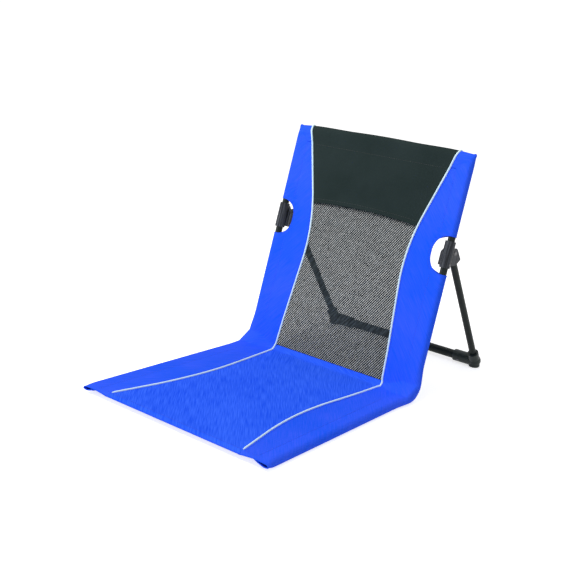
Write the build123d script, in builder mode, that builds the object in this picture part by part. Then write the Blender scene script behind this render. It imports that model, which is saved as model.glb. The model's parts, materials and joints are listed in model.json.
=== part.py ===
from build123d import *
import os
from math import atan2, cos, degrees, hypot, radians, sin, sqrt

# A legless folding beach chair. The seat lies on the ground, the back leans on a
# hinged rear stand, and both fold flat. Millimetres and degrees, +Z up, the chair
# faces -Y, and the origin is under the middle of its plan box. The sitter's left is +X.

# Frame tubes
tube_od = 15.0
tube_wall = 1.2
stand_tube_od = 14.5
stand_tube_wall = 1.0
bar_tube_od = 19.0
bar_tube_wall = 1.0
plug_fit = 0.1
plug_depth = 28.0
end_plug_depth = 14.0
end_plug_round = 1.8

# Frame layout
tube_spacing = 436.0
seat_front_spacing = 468.0
seat_length = 446.0
back_length = 490.0
crown_rise = 9.0
corner_bend = 14.0
recline = 16.5

# Cover cloth: a sleeve round each tube and a web that starts from it
cloth = 1.2
cloth_gap = 0.3
sleeve_setback = 14.0
web_root_angle = 45.0
piping_radius = 1.6
seam_gap = 0.3

# Back panels, as distances in from the tube and along the back from the hinge
back_side_foot = 75.0
back_side_waist = 97.4
back_side_top = 27.0
back_waist_height = 273.0
back_seam_radius = 390.0
headrest_height = 164.0
headrest_arch = 5.0
mesh_foot = 4.0
net_pitch = 24.0
net_strand = 3.2

# Seat panels, as distances in from the tube and forward from the hinge
seat_cloth = 2.4
seat_back_edge = 4.0
seat_side_hinge = 75.0
seat_side_waist = 98.5
seat_side_front = 57.3
seat_waist_distance = 250.0
seat_seam_radius = 700.0
seat_seam_end_gap = 13.0
tube_end_setback = 16.0
trim = 2.0

# Seat to back hinge
fold_gap = 1.0
hinge_lug_radius = 8.0
hinge_collar = 3.0
hinge_collar_room = 1.0
tongue_width = 6.0
fork_cheek = 4.0
fork_side_gap = 0.25
hinge_pin_radius = 3.0
pin_head_radius = 5.0
pin_head = 1.5
head_taper = 30.0
fixed_fit = 0.05
running_fit = 0.08

# Pivot clamps on the back tubes and the half-moon cut-outs round them
clamp_height = 282.0
clamp_length = 54.0
clamp_wall = 2.9
clamp_rib_radius = 0.7
clamp_rib_count = 5
clamp_rib_start = 210.0
clamp_rib_span = 120.0
cutout_room = 12.5
cutout_shift = 4.0
cutout_drop = 2.5
clamp_screw_radius = 1.8
clamp_screw_inset = 8.0
screw_head_radius = 3.2
screw_head = 1.2

# Stand pivot
pivot_rise = 6.0
pivot_setback = 24.0
pivot_spacing = 418.0
pivot_pin_radius = 2.5
ear_cheek = 2.6
ear_border = 2.6
ear_drop = 23.0
ear_round = 2.0
ear_start = 4.0
ear_front = 10.0
ear_shoulder = 4.0
ear_end_inset = 4.0
stop_gap = 0.3
stop_drop = 5.0
bush_wall = 1.0
washer = 0.6
washer_radius = 6.2
washer_gap = 0.35

# Rear stand
stand_reach = 160.0
foot_spacing = 390.0
bar_height = 14.0
leg_overhang = 9.0
leg_end_depth = 3.0
elbow_sleeve = 50.0
elbow_wall = 3.3
elbow_ball_radius = 13.5
collar_wall = 4.4
collar_rise = 24.0
foot_radius = 12.0
foot_round = 2.5
bar_end_gap = 9.5
bar_rivet_inset = 14.0
bar_rivet_radius = 2.0
cap_head = 2.0
cap_round = 1.2
cap_depth = 4.5

# Values worked out from those above
tube_r = tube_od / 2
bore_r = tube_r - tube_wall
sleeve_r = tube_r + cloth_gap + cloth
web_root = (sleeve_r - cloth / 2) * cos(radians(web_root_angle))
web_rise = (sleeve_r - cloth / 2) * sin(radians(web_root_angle))
seam_shift = piping_radius + seam_gap
half_spacing = tube_spacing / 2
front_half = seat_front_spacing / 2
hinge_offset = sleeve_r + fold_gap
hinge_z = sleeve_r + hinge_offset
collar_start = hinge_lug_radius + hinge_collar_room
tube_start = collar_start + hinge_collar
lean = radians(recline)
along_back = Vector(0, sin(lean), cos(lean))
to_front = Vector(0, -cos(lean), sin(lean))
to_rear = Vector(0, cos(lean), -sin(lean))

stand_r = stand_tube_od / 2
stand_bore_r = stand_r - stand_tube_wall
bar_r = bar_tube_od / 2
bar_bore_r = bar_r - bar_tube_wall
pivot_half = pivot_spacing / 2
foot_half = foot_spacing / 2
pivot_height = clamp_height + pivot_rise
pivot_depth = hinge_offset + pivot_setback
pivot_behind = pivot_height * sin(lean) + pivot_depth * cos(lean)
pivot_z = hinge_z + pivot_height * cos(lean) - pivot_depth * sin(lean)
leg_length = hypot(stand_reach, pivot_z - bar_height)
leg_angle = atan2(stand_reach, pivot_z - bar_height)
rear_reach = pivot_behind + stand_reach + elbow_ball_radius
hinge_y = (seat_length - rear_reach) / 2
bar_y = hinge_y + pivot_behind + stand_reach

clamp_bore_r = tube_r + plug_fit
clamp_r = clamp_bore_r + clamp_wall
cutout_radius = clamp_length / 2 + cutout_room
ear_gap = stand_r + washer + 2 * washer_gap
ear_radius = stand_r + stop_gap + ear_border
elbow_bore_r = bar_r + plug_fit
elbow_r = elbow_bore_r + elbow_wall
collar_bore_r = stand_r + plug_fit
collar_r = collar_bore_r + collar_wall
bush_bore_r = pivot_pin_radius + running_fit
bush_r = bush_bore_r + bush_wall

# Planes of the seat cloth, of the back, of its tubes and of the open stand
seat_web_plane = Plane.XY.offset(sleeve_r + web_rise)
back_plane = Plane(origin=(0, hinge_y, hinge_z), x_dir=(1, 0, 0), z_dir=to_front)
back_tube_plane = back_plane.offset(-hinge_offset)
back_web_plane = back_plane.offset(web_rise - hinge_offset)
pivot_centre = Vector(0, hinge_y + pivot_behind, pivot_z)
stand_plane = Plane(
    origin=pivot_centre, x_dir=(1, 0, 0), z_dir=(0, cos(leg_angle), sin(leg_angle))
)

# The top rail is an arc, and a bend of its own joins it to each side tube.
rail_crown = back_length - sleeve_r
rail_radius = (half_spacing**2 + crown_rise**2) / (2 * crown_rise)
rail_centre = Vector(0, rail_crown - rail_radius)
bend_x = half_spacing - corner_bend
bend_s = rail_centre.Y + sqrt((rail_radius - corner_bend) ** 2 - bend_x**2)
bend_centre = Vector(bend_x, bend_s)


def save(piece, name):
    """Label a finished piece and write it as its own file."""
    piece.label = name
    export_step(piece, f"parts/{name}.step")


def save_pair(left, name):
    """Write a left piece, and its mirror image as the right one."""
    save(left, f"{name}_left")
    with BuildPart() as right:
        mirror(left, about=Plane.YZ)
    save(right.part, f"{name}_right")


def both_sides(left):
    """A group of a left piece and its mirror image."""
    with BuildPart() as group:
        add(left)
        mirror(left, about=Plane.YZ)
    return group.part


def top_bend(inset):
    """Side end, middle and rail end of the left top bend, inset from the tube's centreline."""
    to_rail = (bend_centre - rail_centre).normalized()
    to_middle = (Vector(1, 0) + to_rail).normalized()
    radius = corner_bend - inset
    points = [bend_centre + way * radius for way in (Vector(1, 0), to_middle, to_rail)]
    return [(point.X, point.Y) for point in points]


def rail_height(x):
    """Height of the top rail's centreline above the hinge, along the back."""
    return rail_centre.Y + sqrt(rail_radius**2 - x**2)


def back_tube_section(height):
    """Plane across the left back tube. Its x is +X and its y points to the rear."""
    centre = back_tube_plane.from_local_coords((half_spacing, height, 0))
    return Plane(origin=centre, x_dir=(1, 0, 0), z_dir=along_back)


def back_side_view(x):
    """Plane square to X, with its x to the rear of the back tubes and its y along them."""
    return Plane(
        origin=back_tube_plane.from_local_coords((x, 0, 0)), x_dir=to_rear, z_dir=(1, 0, 0)
    )


def seat_tube_x(distance):
    """Half the seat tubes' spacing at a distance in front of the hinge."""
    return half_spacing + (front_half - half_spacing) * distance / seat_length


def seat_tube_section(distance):
    """Plane across the left seat tube that looks to the front."""
    centre = Vector(seat_tube_x(distance), hinge_y - distance, sleeve_r)
    return Plane(origin=centre, z_dir=(front_half - half_spacing, -seat_length, 0))


def leg_section(distance):
    """Plane across the left stand leg, at a distance from the pivot, that looks down the leg."""
    spread = (foot_half - pivot_half) / leg_length
    centre = stand_plane.from_local_coords((pivot_half + spread * distance, distance, 0))
    return Plane(origin=centre, z_dir=stand_plane.y_dir + Vector(spread, 0, 0))


def ring(outer, inner):
    """Profile of a tube."""
    Circle(outer)
    Circle(inner, mode=Mode.SUBTRACT)


def cross_rivet(middle, grip, shank_radius, head_radius, head):
    """A rivet along the normal of a plane, with its middle at the plane's origin."""
    with BuildPart() as rivet:
        with BuildSketch(middle):
            Circle(shank_radius)
        extrude(amount=grip / 2, both=True)
        with BuildSketch(middle.offset(grip / 2)):
            Circle(head_radius)
        extrude(amount=head, taper=head_taper)
        far_side = Plane(origin=middle.origin, z_dir=-middle.z_dir).offset(grip / 2)
        with BuildSketch(far_side):
            Circle(head_radius)
        extrude(amount=head, taper=head_taper)
    return rivet.part


def back_seam_x(height):
    """Half the width between the back's seams, before the bend at the waist is rounded."""
    waist_x = half_spacing - back_side_waist
    if height < back_waist_height:
        end, end_height = half_spacing - back_side_foot, 0
    else:
        end, end_height = half_spacing - back_side_top, back_length
    share = (height - back_waist_height) / (end_height - back_waist_height)
    return waist_x + (end - waist_x) * share


def back_seam(shift, bottom, top):
    """Points of the left back seam, moved out by shift, from one height to another."""
    stops = (bottom, back_waist_height, top)
    return [(back_seam_x(stop) + shift, stop) for stop in stops]


def seat_seam_x(distance):
    """Half the width between the seat's seams, before the bend at the waist is rounded."""
    waist_x = seat_tube_x(seat_waist_distance) - seat_side_waist
    if distance < seat_waist_distance:
        end, end_distance = half_spacing - seat_side_hinge, 0
    else:
        end, end_distance = front_half - seat_side_front, seat_length
    share = (distance - seat_waist_distance) / (end_distance - seat_waist_distance)
    return waist_x + (end - waist_x) * share


def seat_seam(shift, start, end):
    """Plan points of the left seat seam, moved out by shift, between two distances."""
    stops = (start, seat_waist_distance, end)
    return [(seat_seam_x(stop) + shift, hinge_y - stop) for stop in stops]


def make_seat_tubes():
    length = seat_length - tube_end_setback - tube_start
    with BuildPart() as tube:
        with BuildSketch(seat_tube_section(tube_start)):
            ring(tube_r, bore_r)
        extrude(amount=length)
    save_pair(tube.part, "seat_tube")

    end = seat_tube_section(seat_length - tube_end_setback)
    with BuildPart() as plug:
        with BuildSketch(end):
            Circle(tube_r)
        extrude(amount=hinge_collar)
        fillet(plug.edges().sort_by(Axis.Y)[0], radius=end_plug_round)
        with BuildSketch(end):
            Circle(bore_r - plug_fit)
        extrude(amount=-end_plug_depth)
    save(both_sides(plug.part), "seat_tube_plugs")


def make_hinges():
    # The seat's half of the hinge is a plug in the tube with one tongue.
    cross = Plane(
        origin=(half_spacing - tongue_width / 2, hinge_y, hinge_z), x_dir=(0, 1, 0), z_dir=(1, 0, 0)
    )
    with BuildPart() as tongue:
        with BuildSketch(seat_tube_section(collar_start)):
            Circle(tube_r)
        extrude(amount=hinge_collar)
        with BuildSketch(seat_tube_section(collar_start)):
            Circle(bore_r - plug_fit)
        extrude(amount=hinge_collar + plug_depth)
        with BuildSketch(cross):
            Circle(hinge_lug_radius)
            with Locations((-collar_start - hinge_collar / 2, -hinge_offset)):
                Rectangle(hinge_collar, tube_r)
            make_hull()
        extrude(amount=tongue_width)
        with BuildSketch(cross):
            Circle(hinge_pin_radius + running_fit)
        extrude(amount=tongue_width, mode=Mode.SUBTRACT)
    save_pair(tongue.part, "hinge_tongue")

    # The back's half is a plug in the tube with two cheeks, one on each side of the tongue.
    cheek_start = tongue_width / 2 + fork_side_gap
    with BuildPart() as fork:
        with BuildSketch(back_tube_section(collar_start)):
            Circle(tube_r)
        extrude(amount=hinge_collar)
        with BuildSketch(back_tube_section(collar_start)):
            Circle(bore_r - plug_fit)
        extrude(amount=hinge_collar + plug_depth)
        for offset in (cheek_start, -cheek_start - fork_cheek):
            with BuildSketch(back_side_view(half_spacing + offset)):
                with Locations((-hinge_offset, 0)):
                    Circle(hinge_lug_radius)
                with Locations((0, collar_start + hinge_collar / 2)):
                    Rectangle(tube_r, hinge_collar)
                make_hull()
            extrude(amount=fork_cheek)
        with BuildSketch(back_side_view(half_spacing)):
            with Locations((-hinge_offset, 0)):
                Circle(hinge_pin_radius + fixed_fit)
        extrude(amount=tube_od, both=True, mode=Mode.SUBTRACT)
    save_pair(fork.part, "hinge_fork")

    grip = 2 * (cheek_start + fork_cheek + fixed_fit)
    middle = Plane(origin=(half_spacing, hinge_y, hinge_z), z_dir=(1, 0, 0))
    rivet = cross_rivet(middle, grip, hinge_pin_radius, pin_head_radius, pin_head)
    save(both_sides(rivet), "hinge_rivets")


def make_back_frame():
    side_end, bend_middle, rail_end = top_bend(0)
    screw = back_side_view(half_spacing)
    screw_height = clamp_height - clamp_length / 2 + clamp_screw_inset
    with BuildPart() as tube:
        with BuildSketch(back_tube_section(tube_start)):
            ring(tube_r, bore_r)
        extrude(amount=side_end[1] - tube_start)
        with BuildSketch(screw):
            with Locations((0, screw_height)):
                Circle(clamp_screw_radius + fixed_fit)
        extrude(amount=tube_od, mode=Mode.SUBTRACT)
    save_pair(tube.part, "back_tube")

    with BuildPart() as rail:
        with BuildLine(back_tube_plane) as path:
            ThreePointArc(rail_end, (0, rail_crown), (-rail_end[0], rail_end[1]))
        with BuildSketch(Plane(origin=path.line @ 0, z_dir=path.line % 0)):
            ring(tube_r, bore_r)
        sweep()
    save(rail.part, "top_rail")

    # A corner is a bend as thick as the tubes, with a spigot into each of them.
    with BuildPart() as corner:
        with BuildLine(back_tube_plane) as bend:
            ThreePointArc(side_end, bend_middle, rail_end)
        with BuildSketch(Plane(origin=bend.line @ 0, z_dir=bend.line % 0)):
            Circle(tube_r)
        sweep()
        with BuildSketch(back_tube_section(side_end[1])):
            Circle(bore_r - plug_fit)
        extrude(amount=-plug_depth)
        spigot_ends = [rail_end[0] - plug_depth * share for share in (0, 0.5, 1)]
        with BuildLine(back_tube_plane) as spigot:
            ThreePointArc(*[(x, rail_height(x)) for x in spigot_ends])
        with BuildSketch(Plane(origin=spigot.line @ 0, z_dir=spigot.line % 0)):
            Circle(bore_r - plug_fit)
        sweep()
    save_pair(corner.part, "top_corner")


def make_clamps():
    fold = radians(recline) + leg_angle
    pivot = Vector(pivot_setback, pivot_height)
    down_leg = Vector(sin(fold), -cos(fold))
    behind_leg = Vector(cos(fold), sin(fold))
    bottom = clamp_height - clamp_length / 2
    ear_low = bottom + ear_end_inset
    ear_top = bottom + clamp_length - ear_end_inset
    shoulder = clamp_height + ear_shoulder
    inner_face = pivot_half - ear_gap - ear_cheek
    ear_middle = (ear_start + ear_front) / 2
    heel = pivot + down_leg * ear_drop
    heel_side = behind_leg * (ear_radius - ear_round)
    with BuildPart() as clamp:
        with BuildSketch(back_tube_section(bottom)):
            Circle(clamp_r)
            with PolarLocations(clamp_r, clamp_rib_count, clamp_rib_start, clamp_rib_span):
                Circle(clamp_rib_radius)
        extrude(amount=clamp_length)
        # The block that carries the ear beside the sleeve
        with BuildSketch(back_tube_plane.offset(-ear_middle)):
            Polygon(
                (half_spacing, ear_low),
                (inner_face, ear_low),
                (inner_face, shoulder),
                (half_spacing - tube_r, ear_top),
                (half_spacing, ear_top),
                align=None,
            )
        extrude(amount=(ear_front - ear_start) / 2, both=True)
        # Two cheeks on either side of the leg
        for start in (pivot_half + ear_gap, inner_face):
            with BuildSketch(back_side_view(start)):
                with Locations((ear_middle, (ear_low + shoulder) / 2)):
                    Rectangle(ear_front - ear_start, shoulder - ear_low)
                with Locations(pivot):
                    Circle(ear_radius)
                with Locations(heel + heel_side, heel - heel_side):
                    Circle(ear_round)
                make_hull()
            extrude(amount=ear_cheek)
        # The wall behind the leg, which stops the stand when it is open
        with BuildSketch(back_side_view(pivot_half)):
            near = behind_leg * (stand_r + stop_gap)
            far = behind_leg * (ear_radius - stop_gap)
            top = down_leg * stop_drop
            low = down_leg * ear_drop
            Polygon(*[pivot + p for p in (near + top, far + top, far + low, near + low)], align=None)
        extrude(amount=ear_gap + ear_cheek / 2, both=True)
        with BuildSketch(back_tube_section(bottom)):
            Circle(clamp_bore_r)
        extrude(amount=clamp_length, mode=Mode.SUBTRACT)
        with BuildSketch(back_side_view(pivot_half)):
            with Locations(pivot):
                Circle(pivot_pin_radius + fixed_fit)
        extrude(amount=tube_od, both=True, mode=Mode.SUBTRACT)
        with BuildSketch(back_side_view(half_spacing)):
            with Locations((0, bottom + clamp_screw_inset)):
                Circle(clamp_screw_radius + fixed_fit)
        extrude(amount=tube_od, mode=Mode.SUBTRACT)
    save_pair(clamp.part, "pivot_clamp")

    with BuildPart() as screw:
        with BuildSketch(back_side_view(half_spacing + bore_r)):
            with Locations((0, bottom + clamp_screw_inset)):
                Circle(clamp_screw_radius)
        extrude(amount=clamp_r - bore_r)
        with BuildSketch(back_side_view(half_spacing + clamp_r + fixed_fit)):
            with Locations((0, bottom + clamp_screw_inset)):
                Circle(screw_head_radius)
        extrude(amount=screw_head, taper=head_taper)
        with BuildSketch(back_side_view(half_spacing + clamp_r)):
            with Locations((0, bottom + clamp_screw_inset)):
                Circle(clamp_screw_radius)
        extrude(amount=fixed_fit)
    save(both_sides(screw.part), "clamp_screws")

    grip = 2 * (ear_gap + ear_cheek + fixed_fit)
    middle = Plane(origin=pivot_centre + Vector(pivot_half, 0, 0), z_dir=(1, 0, 0))
    rivet = cross_rivet(middle, grip, pivot_pin_radius, pin_head_radius, pin_head)
    save(both_sides(rivet), "stand_pivot_rivets")


def frame_inside(inset):
    """Face inside the back frame, inset from the centreline of its tubes."""
    side_end, middle, rail_end = top_bend(inset)
    ends = [(side_end[0], 0), side_end, rail_end]
    mirrored = [(-x, s) for x, s in ends]
    with BuildLine() as outline:
        Line(ends[0], side_end)
        ThreePointArc(side_end, middle, rail_end)
        ThreePointArc(rail_end, (0, rail_crown - inset), mirrored[2])
        ThreePointArc(mirrored[2], (-middle[0], middle[1]), mirrored[1])
        Polyline(mirrored[1], mirrored[0], ends[0])
    make_face(outline.edges(), mode=Mode.INTERSECT)


def between_back_seams(hem, far):
    """Face between the back seams, from the headrest's arched hem to a straight far edge."""
    seam = back_seam(-seam_shift, 0, back_length + sleeve_r)
    mirrored = [(-x, s) for x, s in seam]
    with BuildLine() as outline:
        FilletPolyline(*seam, radius=back_seam_radius)
        Line(seam[-1], mirrored[-1])
        FilletPolyline(*mirrored, radius=back_seam_radius)
        Line(mirrored[0], seam[0])
    make_face(outline.edges())
    waist_x = half_spacing - back_side_waist
    with BuildLine() as band:
        Line((-tube_spacing, hem), (-waist_x, hem))
        ThreePointArc((-waist_x, hem), (0, hem + headrest_arch), (waist_x, hem))
        Polyline((waist_x, hem), (tube_spacing, hem), (tube_spacing, far))
        Polyline((tube_spacing, far), (-tube_spacing, far), (-tube_spacing, hem))
    make_face(band.edges(), mode=Mode.INTERSECT)


def make_back_cover():
    side_end, bend_middle, rail_end = top_bend(0)
    above = back_length + sleeve_r
    hem = back_length - headrest_height
    seam_end = rail_height(half_spacing - back_side_top) - sleeve_r - piping_radius

    # A side panel is a sleeve up the tube and round the corner, with a web to the seam.
    sleeve_top_x = half_spacing - back_side_top + seam_shift
    rail_stops = [rail_end[0], (rail_end[0] + sleeve_top_x) / 2, sleeve_top_x]
    with BuildPart() as side:
        with BuildLine(back_tube_plane) as path:
            Line((half_spacing, sleeve_setback), side_end)
            ThreePointArc(side_end, bend_middle, rail_end)
            ThreePointArc(*[(x, rail_height(x)) for x in rail_stops])
        with BuildSketch(back_tube_section(sleeve_setback)):
            ring(sleeve_r, sleeve_r - cloth)
        sweep()
        with BuildSketch(back_web_plane):
            seam = back_seam(seam_shift, sleeve_setback, above)
            with BuildLine():
                FilletPolyline(*seam, radius=back_seam_radius)
                Line(seam[-1], (tube_spacing, above))
                Line((tube_spacing, above), (tube_spacing, sleeve_setback))
                Line((tube_spacing, sleeve_setback), seam[0])
            make_face()
            frame_inside(web_root)
        extrude(amount=cloth / 2, both=True)
        with BuildSketch(back_web_plane):
            with Locations((half_spacing + cutout_shift, clamp_height - cutout_drop)):
                Circle(cutout_radius)
        extrude(amount=tube_od * 2, both=True, mode=Mode.SUBTRACT)
    save_pair(side.part, "back_side_panel")

    end_x = back_seam_x(seam_end) - seam_shift
    with BuildPart() as headrest:
        with BuildLine(back_tube_plane) as path:
            ThreePointArc(*[(x, rail_height(x)) for x in (end_x, 0, -end_x)])
        with BuildSketch(Plane(origin=path.line @ 0, z_dir=path.line % 0)):
            ring(sleeve_r, sleeve_r - cloth)
        sweep()
        with BuildSketch(back_web_plane):
            between_back_seams(hem, above)
            frame_inside(web_root)
        extrude(amount=cloth / 2, both=True)
    save(headrest.part, "headrest_panel")

    # The mesh is one holed sheet: diamonds between diagonal strands.
    mesh_top = hem - seam_gap
    reach = net_pitch / 2 - net_strand / sqrt(2)
    columns = int(half_spacing / net_pitch)
    gaps = []
    for row in range(1, int(2 * (mesh_top - mesh_foot) / net_pitch)):
        height = mesh_foot + row * net_pitch / 2
        edge = back_seam_x(height) - seam_shift
        for column in range(-columns, columns + 1):
            x = (column + row % 2 / 2) * net_pitch
            if abs(x) + reach + net_strand < edge and height + reach + net_strand < mesh_top:
                across = [(x - reach, height), (x + reach, height)]
                along = [(x, height - reach), (x, height + reach)]
                gaps.append(Wire.make_polygon([across[0], along[0], across[1], along[1]]))
    print("gaps in the mesh panel:", len(gaps))
    with BuildSketch() as sheet:
        between_back_seams(mesh_top, mesh_foot)
    net = sheet.face().make_holes(gaps)
    with BuildPart() as mesh:
        with BuildSketch(back_web_plane.offset(-cloth / 2)):
            add(net)
        extrude(amount=cloth)
    save(mesh.part, "mesh_panel")

    with BuildPart() as piping:
        with BuildLine(back_web_plane) as path:
            FilletPolyline(*back_seam(0, mesh_foot, seam_end), radius=back_seam_radius)
        with BuildSketch(Plane(origin=path.line @ 0, z_dir=path.line % 0)):
            Circle(piping_radius)
        sweep()
    save_pair(piping.part, "back_piping")


def make_seat_cover():
    # The seat is one flat cloth between the tubes, in line with the tops of the sleeves.
    with BuildPart() as middle:
        with BuildSketch(seat_web_plane):
            seam = seat_seam(-seam_shift, seat_back_edge, seat_length)
            mirrored = [(-x, y) for x, y in seam]
            with BuildLine():
                FilletPolyline(*seam, radius=seat_seam_radius)
                Line(seam[-1], mirrored[-1])
                FilletPolyline(*mirrored, radius=seat_seam_radius)
                Line(mirrored[0], seam[0])
            make_face()
        extrude(amount=seat_cloth / 2, both=True)
    save(middle.part, "seat_centre_panel")

    # A side panel is a sleeve round the tube and a web to the seam.
    length = seat_length - sleeve_setback
    with BuildPart() as side:
        with BuildSketch(seat_tube_section(sleeve_setback - trim)):
            ring(sleeve_r, sleeve_r - cloth)
        extrude(amount=length + 2 * trim)
        with BuildSketch(Plane.XY):
            with Locations((half_spacing, hinge_y - sleeve_setback - length / 2)):
                Rectangle(tube_spacing, length)
        extrude(amount=hinge_z, mode=Mode.INTERSECT)
        with BuildSketch(seat_web_plane):
            seam = seat_seam(seam_shift, sleeve_setback, seat_length)
            back_root = (seat_tube_x(sleeve_setback) - web_root, seam[0][1])
            front_root = (seat_tube_x(seat_length) - web_root, seam[-1][1])
            with BuildLine():
                FilletPolyline(*seam, radius=seat_seam_radius)
                Line(seam[-1], front_root)
                Line(front_root, back_root)
                Line(back_root, seam[0])
            make_face()
        extrude(amount=cloth / 2, both=True)
    save_pair(side.part, "seat_side_panel")

    with BuildPart() as piping:
        with BuildLine(seat_web_plane) as path:
            plan = seat_seam(0, seat_back_edge, seat_length - seat_seam_end_gap)
            FilletPolyline(*plan, radius=seat_seam_radius)
        with BuildSketch(Plane(origin=path.line @ 0, z_dir=path.line % 0)):
            Circle(piping_radius)
        sweep()
    save_pair(piping.part, "seat_piping")


def make_stand():
    pivot_cross = Plane(origin=pivot_centre + Vector(pivot_half, 0, 0), z_dir=(1, 0, 0))
    with BuildPart() as leg:
        with BuildSketch(leg_section(-leg_overhang)):
            ring(stand_r, stand_bore_r)
        extrude(amount=leg_overhang + leg_length + leg_end_depth)
        with BuildSketch(pivot_cross):
            Circle(bush_r + fixed_fit)
        extrude(amount=stand_tube_od, both=True, mode=Mode.SUBTRACT)
    save_pair(leg.part, "stand_leg")

    with BuildPart() as cap:
        with BuildSketch(leg_section(-leg_overhang)):
            Circle(stand_r)
        extrude(amount=-cap_head)
        fillet(cap.edges().sort_by(Axis.Z)[-1], radius=cap_round)
        with BuildSketch(leg_section(-leg_overhang)):
            Circle(stand_bore_r - plug_fit)
        extrude(amount=cap_depth)
    save(both_sides(cap.part), "stand_leg_caps")

    with BuildPart() as bush:
        with BuildSketch(pivot_cross):
            ring(bush_r, bush_bore_r)
        extrude(amount=ear_gap - washer_gap, both=True)
    save(both_sides(bush.part), "pivot_bushes")

    with BuildPart() as washers:
        for side in (1, -1):
            face = Plane(origin=pivot_cross.origin, z_dir=(side, 0, 0)).offset(stand_r + washer_gap)
            with BuildSketch(face):
                ring(washer_radius, bush_r + fixed_fit)
            extrude(amount=washer)
    save(both_sides(washers.part), "pivot_washers")

    bar_half = foot_half - bar_end_gap
    rivet_x = foot_half - elbow_sleeve + bar_rivet_inset
    rivet_plane = Plane(origin=(rivet_x, bar_y, bar_height), z_dir=stand_plane.z_dir)
    with BuildPart() as bar:
        with BuildSketch(Plane(origin=(-bar_half, bar_y, bar_height), z_dir=(1, 0, 0))):
            ring(bar_r, bar_bore_r)
        extrude(amount=2 * bar_half)
        for x in (rivet_x, -rivet_x):
            with BuildSketch(Plane(origin=(x, bar_y, bar_height), z_dir=stand_plane.z_dir)):
                Circle(bar_rivet_radius + fixed_fit)
            extrude(amount=bar_tube_od, both=True, mode=Mode.SUBTRACT)
    save(bar.part, "stand_crossbar")

    # An elbow joins the leg to the crossbar and ends in the foot.
    sleeve_end = Plane(origin=(foot_half - elbow_sleeve, bar_y, bar_height), z_dir=(1, 0, 0))
    with BuildPart() as elbow:
        with BuildSketch(sleeve_end):
            Circle(elbow_r)
        extrude(amount=elbow_sleeve)
        with BuildSketch(leg_section(leg_length - collar_rise)):
            Circle(collar_r)
        extrude(amount=collar_rise)
        with Locations((foot_half, bar_y, bar_height)):
            Sphere(elbow_ball_radius)
        with BuildSketch(Plane.XY):
            with Locations((foot_half, bar_y)):
                Circle(foot_radius)
        extrude(amount=bar_height)
        fillet(elbow.edges().sort_by(Axis.Z)[0], radius=foot_round)
        with BuildSketch(sleeve_end):
            Circle(elbow_bore_r)
        extrude(amount=elbow_sleeve - bar_end_gap + plug_fit, mode=Mode.SUBTRACT)
        with BuildSketch(leg_section(leg_length - 2 * collar_rise)):
            Circle(collar_bore_r)
        extrude(amount=2 * collar_rise + leg_end_depth + plug_fit, mode=Mode.SUBTRACT)
        with BuildSketch(rivet_plane):
            Circle(bar_rivet_radius + fixed_fit)
        extrude(amount=bar_tube_od, both=True, mode=Mode.SUBTRACT)
    save_pair(elbow.part, "stand_elbow")

    grip = 2 * (elbow_r + fixed_fit)
    rivet = cross_rivet(rivet_plane, grip, bar_rivet_radius, screw_head_radius, screw_head)
    save(both_sides(rivet), "crossbar_rivets")


os.makedirs("parts", exist_ok=True)
make_seat_tubes()
make_hinges()
make_back_frame()
make_clamps()
make_back_cover()
make_seat_cover()
make_stand()
print("hinge axis: y", round(hinge_y, 4), "z", round(hinge_z, 4))
print("stand pivot: y", round(pivot_centre.Y, 4), "z", round(pivot_centre.Z, 4))
print("stand folds by", round(degrees(leg_angle) + recline, 3), "leg", round(leg_length, 3))
print("crossbar: y", round(bar_y, 4), "z", round(bar_height, 4))
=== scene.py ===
import json
import math

import bmesh
import bpy
from mathutils import Matrix, Vector, noise


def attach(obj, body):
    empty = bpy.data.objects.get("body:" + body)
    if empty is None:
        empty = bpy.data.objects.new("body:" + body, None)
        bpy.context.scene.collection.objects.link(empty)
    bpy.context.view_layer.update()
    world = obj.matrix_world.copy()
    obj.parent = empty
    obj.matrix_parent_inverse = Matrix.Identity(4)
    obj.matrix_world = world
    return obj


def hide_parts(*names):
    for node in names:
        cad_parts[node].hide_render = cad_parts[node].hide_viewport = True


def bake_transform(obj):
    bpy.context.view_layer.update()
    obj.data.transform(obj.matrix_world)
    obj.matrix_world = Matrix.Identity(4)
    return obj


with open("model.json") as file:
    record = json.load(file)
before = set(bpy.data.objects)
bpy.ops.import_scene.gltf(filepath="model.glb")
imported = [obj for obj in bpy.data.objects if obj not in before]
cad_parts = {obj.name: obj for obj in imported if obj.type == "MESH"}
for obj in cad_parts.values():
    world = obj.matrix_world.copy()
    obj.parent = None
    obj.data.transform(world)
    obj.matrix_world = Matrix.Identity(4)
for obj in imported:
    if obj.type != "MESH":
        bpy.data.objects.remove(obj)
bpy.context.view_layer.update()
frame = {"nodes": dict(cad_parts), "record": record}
nodes = frame["nodes"]
SIDES = {"left": 1, "right": -1}

# Lengths are in millimetres and turn into metres when a mesh is made
MM = 0.001
HINGE_Y = 79.0519
HINGE_Z = 19.0
RECLINE = math.radians(16.5)
SIN_R = math.sin(RECLINE)
COS_R = math.cos(RECLINE)
UPWARD = Vector((0.0, 0.0, 1.0))
FRONTWARD = Vector((0.0, -COS_R, SIN_R))
TUBE_X = 218.0
SEAT_FLARE = 16.0
SEAT_LENGTH = 446.0
TUBE_DEPTH = 10.0
WEB_DEPTH = 4.06
SLEEVE_R = 8.4
CLOTH = 0.9

# The tunnel that is sewn round each tube, from its outer edge to its stitch line
TUNNEL = 32.4
FLAP_RISE = 4.6
WEB_RISE = TUBE_DEPTH - WEB_DEPTH
SIDE_TOP = 450.0

# The round cut-out in each side of the back
CUT_X = 222.0
CUT_S = 279.5
CUT_R = 39.5
CUT_SQUARE = 2.3
CUT_LOW = 200.0
CUT_HIGH = 360.0

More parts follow.
